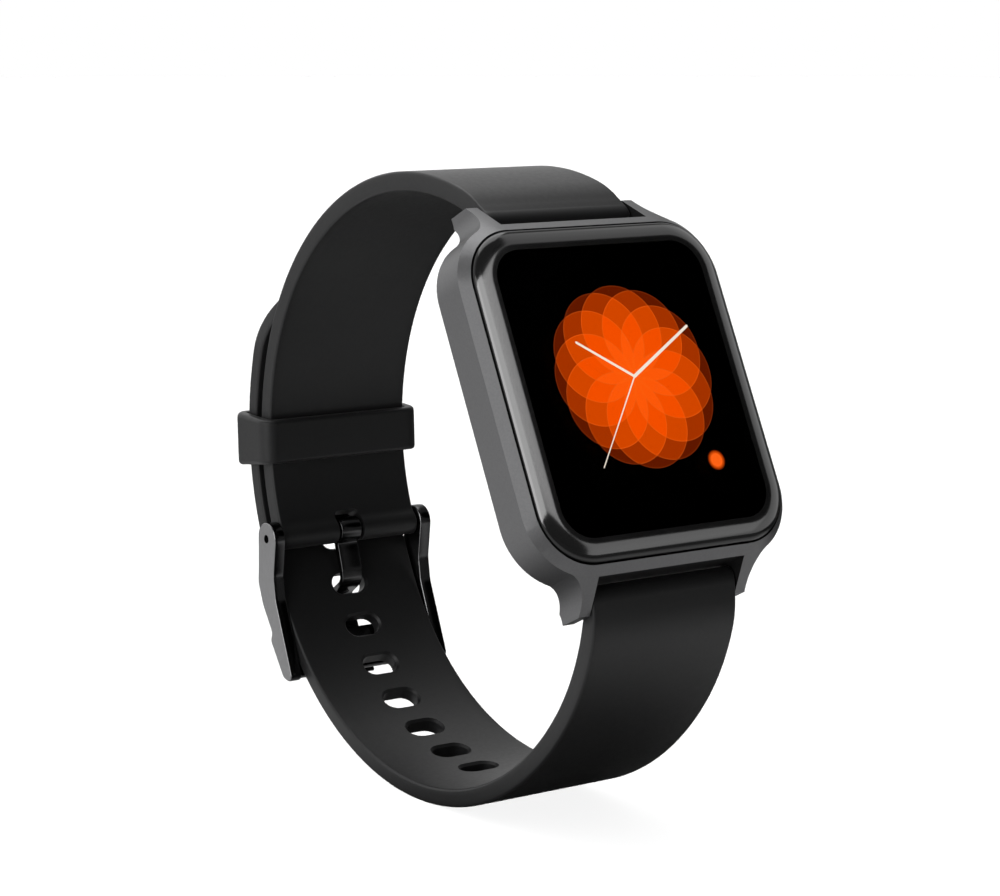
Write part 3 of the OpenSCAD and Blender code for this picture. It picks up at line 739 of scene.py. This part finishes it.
def paint_recess_shade(obj):
    """Paints shade on the walls between each pair of lugs: their faces take the near-black
    material.
    """
    obj.data.materials.append(RECESS_SHADE_BLACK)
    for p in obj.data.polygons:
        at = UNPLACE @ p.center
        if abs(at.x) < RECESS_X and abs(at.y) > RECESS_Y:
            p.material_index = 1


def glass_rect(inset, r):
    """The outline of the glass in plan, a distance in, with corners of radius r."""
    w, h = GLASS_W - 2 * inset, GLASS_H - 2 * inset
    return rounded_rect(w, h, r, GLASS_CORNER_STEPS, GLASS_SIDE_POINTS)


def glass_outline(inset, z):
    """One loop of the glass, a distance in from its edge."""
    return [(x, y, z) for x, y in glass_rect(inset, GLASS_R - inset)]


def glass_window():
    """The flat middle of the glass, printed black round the back of the window."""
    window = glass_rect(WINDOW_INSET, WINDOW_R)
    loops = [[(x * s, y * s, GLASS_BOTTOM) for x, y in window] for s in (0.999, 1)]
    loops.append(glass_outline(FLAT_INSET, GLASS_BOTTOM))
    loops.append(glass_outline(FLAT_INSET, DOME))
    bm = loft(loops)
    bm.faces.ensure_lookup_table()
    count = len(window)
    for face in bm.faces[count : 3 * count]:  # the printed back and the outer wall
        face.material_index = 1
    obj = finish_mesh(
        "touch_glass", bm, "case", CLEAR_GLASS, ("front_glass",), 30
    )
    obj.data.materials.append(PRINT_BLACK)
    return obj


def glass_border():
    """The curved border of the glass, down to the joint with the rim."""
    inner = FLAT_INSET - 0.01
    loops = [glass_outline(inner, GLASS_BOTTOM)]
    loops.append(glass_outline(BORDER_CHAMFER, GLASS_BOTTOM))
    loops.append(glass_outline(0, GLASS_BOTTOM + BORDER_CHAMFER))
    for k in range(BORDER_STEPS + 1):
        a = math.radians(90 * k / BORDER_STEPS)
        loops.append(glass_outline(BORDER * (1 - math.cos(a)), DOME * math.sin(a)))
    loops.append(glass_outline(inner, DOME))
    bm = loft(loops, ring=True)
    obj = finish_mesh(
        "glass_border", bm, "case", BORDER_GLASS, smooth_deg=30
    )
    obj.modifiers.remove(obj.modifiers["normals"])
    return obj


shell = rounded_node("case_body", "case_shell", "case", CASE_METAL, 0.1)
paint_recess_shade(shell)
rounded_node("side_button", "button_cap", "button", CASE_METAL, 0.12)
rounded_node("rear_cover", "rear_lid", "case", REAR_PLASTIC, 0.12)
WINDOW_OBJ = glass_window()
BORDER_OBJ = glass_border()

# --- Display -----------------------------------------------------------------------
# A generic dial: a rosette of discs, three hands and a dot, with no text. The parts
# lie in thin layers over the panel; HAND_SHIFT allows for what the glass displaces.
DIAL, DIAL_R, DISCS = Vector((1.42, 1.29)), 10.6, 12
DIAL_Z = -1.238
TONES = ("5f1800", "a43300", "d44700", "f54f00", "ff5909", "ff5d0c")
RING_TONES = ("82300c", "c24c14", "f05c14")
RING_HALF, RING_STEPS, RING_ARC = 0.035, 96, 300
RING_Z, RING_RISE = DIAL_Z + 0.002, 0.0003
GLOW, HAND_GLOW = 1.1, 1.0
HAND_SHIFT = Vector((-0.21, -0.08))
HANDS = (  # name, tip, widths at the centre and the tip, height
    ("dial_hour_hand", (-5.04, 5.87), 0.32, 0.28, 0.008),
    ("dial_minute_hand", (10.96, 6.69), 0.38, 0.32, 0.01),
    ("dial_second_hand", (-5.92, -8.53), 0.16, 0.12, 0.012),
)
MARKER_X, MARKER_Y = 9.39, -9.2
MARKER_DISCS = ((1.14, "7a2600"), (1.0, "c84508"), (0.8, "ff6416"))


def lit_piece(name, bm, prefix, tones):
    """A flat piece of the display whose faces glow in several tones."""
    bm.normal_update()
    mesh = take_mesh(name, bm)
    mesh.transform(PLACE)
    for i, tone in enumerate(tones):
        mesh.materials.append(glow(f"{prefix}_{i + 1}", tone, GLOW))
    finish_object(name, mesh, "case")


def rosette():
    """Overlapping discs that all pass through the centre, one tone per overlap."""
    bm = bmesh.new()
    count = DISCS * 20
    rows = []
    for i in range(count):
        a = 360 * i / count
        gaps = sorted(abs((a - 360 / DISCS * k + 180) % 360 - 180) for k in range(DISCS))
        radii = [DIAL_R * math.cos(math.radians(min(g, 90))) for g in gaps[: len(TONES)]]
        ring = [DIAL + heading(a) * max(r, 0.02) for r in radii]
        rows.append([bm.verts.new((p.x, p.y, DIAL_Z)) for p in ring])
    middle = bm.verts.new((DIAL.x, DIAL.y, DIAL_Z))
    last = len(TONES) - 1
    for i in range(count):
        a, b = rows[i], rows[(i + 1) % count]
        for k in range(last):
            bm.faces.new((a[k], b[k], b[k + 1], a[k + 1])).material_index = k
        bm.faces.new((a[last], b[last], middle)).material_index = last
    lit_piece("dial_rosette", bm, "dial_tone", TONES)


def disc_rims():
    """A fine bright line round each disc, dimmer towards the dial's centre."""
    bm = bmesh.new()
    radius = DIAL_R / 2
    for k in range(DISCS):
        disc_a = 360 * k / DISCS
        centre = DIAL + heading(disc_a) * radius
        z = RING_Z + RING_RISE * k
        rows = []
        for i in range(RING_STEPS + 1):
            way = heading(disc_a + RING_ARC * (i / RING_STEPS - 0.5))
            pair = [centre + way * (radius + side * RING_HALF) for side in (-1, 1)]
            rows.append([bm.verts.new((p.x, p.y, z)) for p in pair])
        for i in range(RING_STEPS):
            a, b = rows[i], rows[i + 1]
            face = bm.faces.new((a[0], b[0], b[1], a[1]))
            off = abs(i + 0.5 - RING_STEPS / 2) / RING_STEPS * RING_ARC
            face.material_index = 0 if off < 30 else 1 if off < 60 else 2
    lit_piece("dial_rims", bm, "rim_tone", RING_TONES)


def flat_shape(name, points, z, mat):
    """A flat piece of the display in one tone."""
    bm = bmesh.new()
    bm.faces.new([bm.verts.new((x, y, z)) for x, y in points])
    finish_mesh(name, bm, "case", mat)


def hand(name, tip, centre_w, tip_w, z, mat):
    """A tapered watch hand with round ends, from the dial's centre to its tip."""
    way = (tip - DIAL).normalized()
    side = Vector((-way.y, way.x))
    tip_centre = DIAL + way * ((tip - DIAL).length - tip_w / 2)
    points = []
    for centre, half, start in ((DIAL, centre_w / 2, 90), (tip_centre, tip_w / 2, -90)):
        for k in range(9):
            p = heading(start + 180 * k / 8) * half
            points.append(tuple(centre + way * p.x + side * p.y))
    flat_shape(name, points, z, mat)


panel = cad_bmesh("display_panel")
finish_mesh("display_face", panel, "case", PRINT_BLACK, ("display_panel",))
rosette()
disc_rims()
CREAM = glow("hand_cream", "fff3e0", HAND_GLOW)
for name, tip, centre_w, tip_w, height in HANDS:
    hand(name, Vector(tip) + HAND_SHIFT, centre_w, tip_w, DIAL_Z + height, CREAM)
for k, (radius, tone) in enumerate(MARKER_DISCS):
    circle = [heading(7.5 * i) * radius for i in range(48)]
    points = [(MARKER_X + p.x, MARKER_Y + p.y) for p in circle]
    mat = glow(f"marker_{k + 1}", tone, GLOW)
    flat_shape(f"dial_marker_{k + 1}", points, DIAL_Z + 0.003 * k, mat)

# --- Buckle, bars and springs --------------------------------------------------------
# Outlines are in [Y, height over the loop's bottom].
BUCKLE_X, ARM_T, TONGUE_W = 11.7, 1.6, 3.0
EYE_R, TONGUE_EYE_R, EYE_STEPS = 2.05, 1.6, 24
ARM_EDGE, TONGUE_EDGE, CROSS_EDGE = 0.18, 0.22, 0.1
ARM_EASE, TONGUE_EASE, CROSS_EASE = 0.3, 0.22, 0.15
CROSS_Y0, CROSS_Y1, CROSS_STEPS, CROSS_GAP, CROSS_OVERLAP = -8.5, -13.7, 8, 0.2, 0.5
# Painted shade: buckle faces that look less sideways than this take the darker copy of the
# steel.
EDGE_SHADE_LIMIT = 0.3  # faces that look less sideways than this get the darker finish
PIN_UP = PIN_Z - LOOP_BOTTOM
ARM_LINE = [
    (-1.5, 1.6), (-4.4, 0.7), (-12.1, 0.15), (-14.1, 0), (-14.45, -0.85), (-13.6, -1.95),
    (-8.5, -2.75), (-7.75, -1.95), (-4, -2.45), (-1.1, -2.25), (0.8, -1.2),
]
TONGUE_LINE = [
    (0.6, 1.85), (-1.9, 1.45), (-3.1, 0.95), (-3.6, 0.15), (-3.95, -2.05), (-4.5, -2.6),
    (-8.6, -2.65), (-13.4, -1.9), (-14.4, -1.55), (-14.6, -1.9), (-13.6, -2.6),
    (-8.6, -3.4), (-4, -3.3), (-3.25, -2.65), (-2.85, -0.05), (-2.5, 0.4), (-1.5, 0.7),
    (1.9, 1.05),
]
CROSS_LOW = [(-13.95, -0.12), (-14.2, -0.85), (-13.5, -1.75), (-8.5, -2.5)]


def eye(radius, a0, a1):
    """Points round the pin, which close an outline as an eye."""
    pin = Vector((PIN_Y, PIN_UP))
    angles = [a0 + (a1 - a0) * k / EYE_STEPS for k in range(EYE_STEPS + 1)]
    return [tuple(polar(pin, radius, a)) for a in angles]


def plate(outline, x0, x1, edge, sigma):
    """A plate with a smooth outline in [Y, height] and rounded rims."""
    shape = smooth_outline(outline, sigma)
    bm = loft([[(x, p.x, p.y + LOOP_BOTTOM) for p in shape] for x in (x0, x1)])
    return bevelled(bm, edge, 50)


def crossbar_top():
    """The top of the crossbar, which follows the strap's outer face at a gap."""
    points = []
    for k in range(CROSS_STEPS + 1):
        y = CROSS_Y0 + (CROSS_Y1 - CROSS_Y0) * k / CROSS_STEPS
        drop = math.sqrt((LOW_OUT_R + CROSS_GAP) ** 2 - (y - LOW_OUT_C.x) ** 2)
        points.append((y, LOW_OUT_C.y - LOOP_BOTTOM - drop))
    return points


def buckle():
    """Two arms joined by the crossbar, with a hole for the pin's tips."""
    arm = eye(EYE_R, -45, 118) + ARM_LINE
    inner = BUCKLE_X - ARM_T
    bm = plate(arm, -BUCKLE_X, -inner, ARM_EDGE, ARM_EASE)
    bm = boolean(bm, plate(arm, inner, BUCKLE_X, ARM_EDGE, ARM_EASE), "UNION")
    half = inner + CROSS_OVERLAP
    cross = plate(crossbar_top() + CROSS_LOW, -half, half, CROSS_EDGE, CROSS_EASE)
    bm = boolean(bm, cross, "UNION")
    bm = cut(bm, [rod_cutter(BUCKLE_X + CUT_PAST, PIN_Y, PIN_Z, PIN_TIP_R + 0.03)])
    obj = finish_mesh(
        "buckle_body", bm, "buckle", BLACK_STEEL, ("buckle_frame",), 35
    )
    # Painted shade: the buckle's edge faces take the darker copy of the steel.
    obj.data.materials.append(TONGUE_AND_EDGE_SHADE_STEEL)
    for p in obj.data.polygons:
        if abs(p.normal.x) < EDGE_SHADE_LIMIT:
            p.material_index = 1


def tongue():
    """The bent plate that turns on the pin and goes through a hole."""
    outline = eye(TONGUE_EYE_R, -143, 190) + TONGUE_LINE
    bm = plate(outline, -TONGUE_W / 2, TONGUE_W / 2, TONGUE_EDGE, TONGUE_EASE)
    bm = cut(bm, [rod_cutter(TONGUE_W, PIN_Y, PIN_Z, PIN_R + 0.04)])
    finish_mesh(
        "tongue_prong", bm, "tongue", TONGUE_AND_EDGE_SHADE_STEEL, ("buckle_tongue",), 35
    )


buckle()
tongue()
for node, name, body, slot, mat, width in (
    ("buckle_pin", "pin_rod", "band", "black_metal", PIN_STEEL, 0.06),
    ("upper_spring_bar", "upper_bar_tube", "band", "bare_steel", BARE_STEEL, 0.06),
    ("lower_spring_bar", "lower_bar_tube", "band", "bare_steel", BARE_STEEL, 0.06),
    ("upper_release_lever", "upper_lever_pin", "upper_lever",
     "bare_steel", BARE_STEEL, 0.06),
    ("lower_release_lever", "lower_lever_pin", "lower_lever",
     "bare_steel", BARE_STEEL, 0.06),
    ("charging_contacts", "contact_pads", "case", "contact_gold", GOLD, 0.08),
    ("sensor_window", "sensor_lens", "case", "sensor_glass", SENSOR_GLASS, 0.12),
    ("rear_cover_screws", "screw_heads", "case", "bare_steel", BARE_STEEL, 0.05),
    ("battery", "battery_pouch", "case", "battery_foil", FOIL, 0.25),
):
    rounded_node(node, name, body, mat, width)

SPRING_TRAVEL, SPRING_SHEET, SPRING_BORE, SPRING_WAVES = 0.4, 0.1, 0.64, 3


def wave_spring():
    """The button's return spring: a flat ring bent into waves, pressed flat by the cap."""
    low, high = (Vector(v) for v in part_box("button_spring"))
    length = (high.x - low.x) / MM
    outer = (high.y - low.y) / 2 / MM
    centre = UNPLACE @ ((low + high) / 2)
    half = SPRING_SHEET / 2
    section = ((1, -half), (1, half), (SPRING_BORE, half), (SPRING_BORE, -half))
    loops = []
    for k in range(72):
        a = math.radians(5 * k)
        x = centre.x + (length - SPRING_SHEET) / 2 * math.cos(SPRING_WAVES * a)
        y, z = outer * math.cos(a), outer * math.sin(a)
        loops.append([(x + dx, centre.y + y * s, centre.z + z * s) for s, dx in section])
    bm = loft(loops, ring=True)
    obj = finish_mesh(
        "button_wave_spring", bm, "case", BARE_STEEL, ("button_spring",)
    )
    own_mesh(obj)


wave_spring()

# --- CAD nodes that are shown as they are ----------------------------------------------
for node, mat in (
    ("glass_seal", SEAL_RUBBER), ("rear_cover_seal", SEAL_RUBBER),
    ("button_seal", SEAL_RUBBER), ("display_bracket", INNER_PLASTIC),
    ("side_switch", INNER_PLASTIC), ("optical_sensor", INNER_PLASTIC),
    ("display_flex", FLEX), ("main_board", BOARD), ("sensor_board", BOARD),
    ("vibration_motor", BARE_STEEL), ("button_clip", BARE_STEEL),
    ("upper_bar_spring", BARE_STEEL), ("lower_bar_spring", BARE_STEEL),
):
    obj = frame["nodes"][node]
    obj.data.materials.clear()
    obj.data.materials.append(mat)

# --- Stage -------------------------------------------------------------------------
# A white studio. The camera sees one floor and a white sphere; the object mirrors and
# is lit by another floor, the world, two soft lights and panels for the glass's border.
FLOOR_TONE, FLOOR_SIZE = 0.86, 7
BOUNCE_TONE, BOUNCE_SIZE, BOUNCE_HEIGHT = 0.8, 60, -0.0002
BOUNCE_DARK, BOUNCE_LIGHT = (0.02, 0.02, 0.02, 1), (0.8, 0.8, 0.8, 1)
BOUNCE_SHADES = (  # operation, vector, distances it runs between, values there
    ("DISTANCE", (-0.002, -0.015, 0), 0.012, 0.055, 0.0, 1.0),
    ("DOT_PRODUCT", (-0.8, -0.6, 0), -0.07, -0.02, 0.0, 1.0),
    ("DOT_PRODUCT", (0.2, -0.98, 0), 0.07, 0.13, 1.0, 0.15),
)
BACKDROP_R = 3.4
FRONT_GLOW, BACK_GLOW, BACK_WAY = 0.14, 0.95, (-0.35, 0.935, 0.0)
FLAG_EDGE, FLAG_CORE = math.cos(math.radians(24)), math.cos(math.radians(14))
WHITE = (1, 1, 1, 1)
CAMERA_AT = Vector((-191.02, -68.14, 233.59))
CAMERA_LOOK = Vector((0.5795, 0.2121, -0.7869))
CAMERA_LENS, CAMERA_SENSOR = 102.06, 36
GLASS_TOP = Vector((0, 0, DOME))
MIRRORED_CAMERA = Vector((CAMERA_AT.x, CAMERA_AT.y, 2 * DOME - CAMERA_AT.z))
MIRROR_WAY = (GLASS_TOP - MIRRORED_CAMERA).normalized()
PANEL_U = (Vector((1, 0, 0)) - MIRROR_WAY * MIRROR_WAY.x).normalized()
PANEL_V = MIRROR_WAY.cross(PANEL_U)
PANEL_FAR = 300
PANELS = (  # name, ends across and up in mm, radiance, turned
    ("glass_left", -300, -75, -44, 44, 5.4, False),
    ("glass_left_soft", -300, -52, -62, 62, 4.2, False),
    ("glass_left_far", -200, 300, -70, 70, 8.0, True),
    ("glass_right", 62, 330, -330, 330, 1.4, False),
    ("glass_top", -40, 62, 60, 330, 1.2, False),
    ("glass_bottom", -40, 62, -330, -60, 2.3, False),
)
SOFT_LIGHTS = (  # name, direction, size, watts
    ("left", (-0.95, -0.35, 0.35), (0.3, 0.4), 0.85),
    ("top", (0.1, 0.3, 0.95), (0.4, 0.4), 1.1),
)
LIGHT_AIM, LIGHT_FAR = Vector((0, 0.005, 0.04)), 0.5


def smooth_step(tree, output, operation, vector, low, high, at_low, at_high):
    """A smooth run from one value to another over a distance or dot product."""
    coord = tree.nodes.new("ShaderNodeTexCoord")
    measure = tree.nodes.new("ShaderNodeVectorMath")
    measure.operation = operation
    measure.inputs[1].default_value = vector
    tree.links.new(coord.outputs[output], measure.inputs[0])
    span = tree.nodes.new("ShaderNodeMapRange")
    span.interpolation_type = "SMOOTHSTEP"
    set_input(span, "From Min", low)
    set_input(span, "From Max", high)
    set_input(span, "To Min", at_low)
    set_input(span, "To Max", at_high)
    tree.links.new(measure.outputs["Value"], span.inputs["Value"])
    return span.outputs["Result"]


def product(tree, a, b):
    """Two values multiplied."""
    node = tree.nodes.new("ShaderNodeMath")
    node.operation = "MULTIPLY"
    tree.links.new(a, node.inputs[0])
    tree.links.new(b, node.inputs[1])
    return node.outputs["Value"]


def floor(name, height, tone, size):
    """A plain pale floor."""
    bpy.ops.mesh.primitive_plane_add(size=size, location=(0, 0, height))
    obj = bpy.context.object
    obj.name = name
    mat = material(name + "_paint", (tone, tone, tone), 0.9)
    vary_rough(mat, noise(mat, 3, 2), 0.85, 0.95)
    obj.data.materials.append(mat)
    return obj


def shade_bounce(mat):
    """Paints shade into the mirrored floor's colour: a painted shadow under the object, and
    painted dark areas to its back right and far in front.
    """
    tree = mat.node_tree
    steps = [smooth_step(tree, "Object", *shade) for shade in BOUNCE_SHADES]
    whole = product(tree, product(tree, steps[0], steps[1]), steps[2])
    ramp = tree.nodes.new("ShaderNodeValToRGB")
    ramp.color_ramp.elements[0].color = BOUNCE_DARK
    ramp.color_ramp.elements[1].color = BOUNCE_LIGHT
    tree.links.new(whole, ramp.inputs["Fac"])
    base = tree.nodes["Principled BSDF"].inputs["Base Color"]
    tree.links.new(ramp.outputs["Color"], base)


def world_light():
    """Bright behind the object, dim in front, with a black flag facing the glass."""
    world = bpy.data.worlds.new("studio")
    bpy.context.scene.world = world
    world.use_nodes = True
    tree = world.node_tree
    back = smooth_step(
        tree, "Generated", "DOT_PRODUCT", BACK_WAY, -0.05, 0.75, FRONT_GLOW, BACK_GLOW
    )
    flag_way = tuple((PLACE.to_3x3() @ MIRROR_WAY).normalized())
    flag = smooth_step(
        tree, "Generated", "DOT_PRODUCT", flag_way, FLAG_EDGE, FLAG_CORE, 1.0, 0.0
    )
    background = tree.nodes["Background"]
    tree.links.new(product(tree, back, flag), background.inputs["Strength"])
    set_input(background, "Color", WHITE)


def backdrop():
    """A white sphere that only the camera sees."""
    bpy.ops.mesh.primitive_uv_sphere_add(segments=64, ring_count=32, radius=BACKDROP_R)
    obj = bpy.context.object
    obj.name = "backdrop"
    mat = material("backdrop_white", (0, 0, 0), 1.0)
    bsdf = mat.node_tree.nodes["Principled BSDF"]
    set_input(bsdf, "Emission Color", WHITE)
    set_input(bsdf, "Emission Strength", 1.0)
    obj.data.materials.append(mat)
    obj.visible_diffuse = False
    obj.visible_glossy = False
    obj.visible_transmission = False
    obj.visible_shadow = False


def add_light(name, kind, energy, receivers):
    """A light that the camera doesn't see, and that lights only some objects."""
    light = bpy.data.lights.new(name, kind)
    light.energy = energy
    obj = add_object(name, light)
    obj.visible_camera = False
    group = bpy.data.collections.new(name + "_receivers")
    for receiver in receivers:
        group.objects.link(receiver)
    obj.light_linking.receiver_collection = group
    return obj


def sun(name, strength, receiver, spread, shadow):
    """Light straight down on a floor; spread is its angle in degrees."""
    obj = add_light(name, "SUN", strength, [receiver])
    obj.data.angle = math.radians(spread)
    obj.data.use_shadow = shadow


def add_panel(name, energy, receivers, size, place, turn):
    """A rectangular area light."""
    obj = add_light(name, "AREA", energy, receivers)
    obj.data.shape = "RECTANGLE"
    obj.data.size, obj.data.size_y = size
    obj.location = place
    obj.rotation_mode = "QUATERNION"
    obj.rotation_quaternion = turn


def soft_light(name, way, size, watts, receivers):
    """An area light that faces the object from one direction."""
    way = Vector(way).normalized()
    turn = way.to_track_quat("Z", "Y")
    add_panel(name, watts, receivers, size, LIGHT_AIM + way * LIGHT_FAR, turn)


def glass_panel(name, u0, u1, v0, v1, radiance, turned):
    """A soft panel beside the dark patch of studio that the flat glass mirrors.

    A turned panel stands at the left end of that plane, square to it.
    """
    way, along = (PANEL_U * -1, MIRROR_WAY) if turned else (MIRROR_WAY, PANEL_U)
    place = GLASS_TOP + way * PANEL_FAR + along * (u0 + u1) / 2 + PANEL_V * (v0 + v1) / 2
    size = ((u1 - u0) * MM, (v1 - v0) * MM)
    energy = math.pi * size[0] * size[1] * radiance
    axes = Matrix((along, PANEL_V, along.cross(PANEL_V))).transposed()
    turn = (PLACE.to_3x3().normalized() @ axes).to_quaternion()
    add_panel(name, energy, [BORDER_OBJ], size, PLACE @ place, turn)


LIT = [o for o in bpy.data.objects if o.type == "MESH" and o is not WINDOW_OBJ]
seen_floor = floor("floor", 0, FLOOR_TONE, FLOOR_SIZE)
seen_floor.visible_diffuse = False
seen_floor.visible_glossy = False
seen_floor.visible_shadow = False
bounce_floor = floor("bounce_floor", BOUNCE_HEIGHT, BOUNCE_TONE, BOUNCE_SIZE)
bounce_floor.visible_camera = False
shade_bounce(bounce_floor.data.materials[0])
world_light()
backdrop()
sun("floor_wash", 3.3, seen_floor, 1, False)
sun("bounce_wash", 2.0, bounce_floor, 70, True)
for row in SOFT_LIGHTS:
    soft_light(*row, LIT)
for row in PANELS:
    glass_panel(*row)

cam = bpy.data.cameras.new("camera")
cam.sensor_width = CAMERA_SENSOR
cam.lens = CAMERA_LENS
cam_obj = add_object("camera", cam)
cam_obj.location = PLACE @ CAMERA_AT
cam_obj.rotation_mode = "QUATERNION"
look = (PLACE.to_3x3() @ CAMERA_LOOK).normalized()
cam_obj.rotation_quaternion = look.to_track_quat("-Z", "Y")
bpy.context.scene.camera = cam_obj
bpy.context.scene.view_settings.view_transform = "Standard"
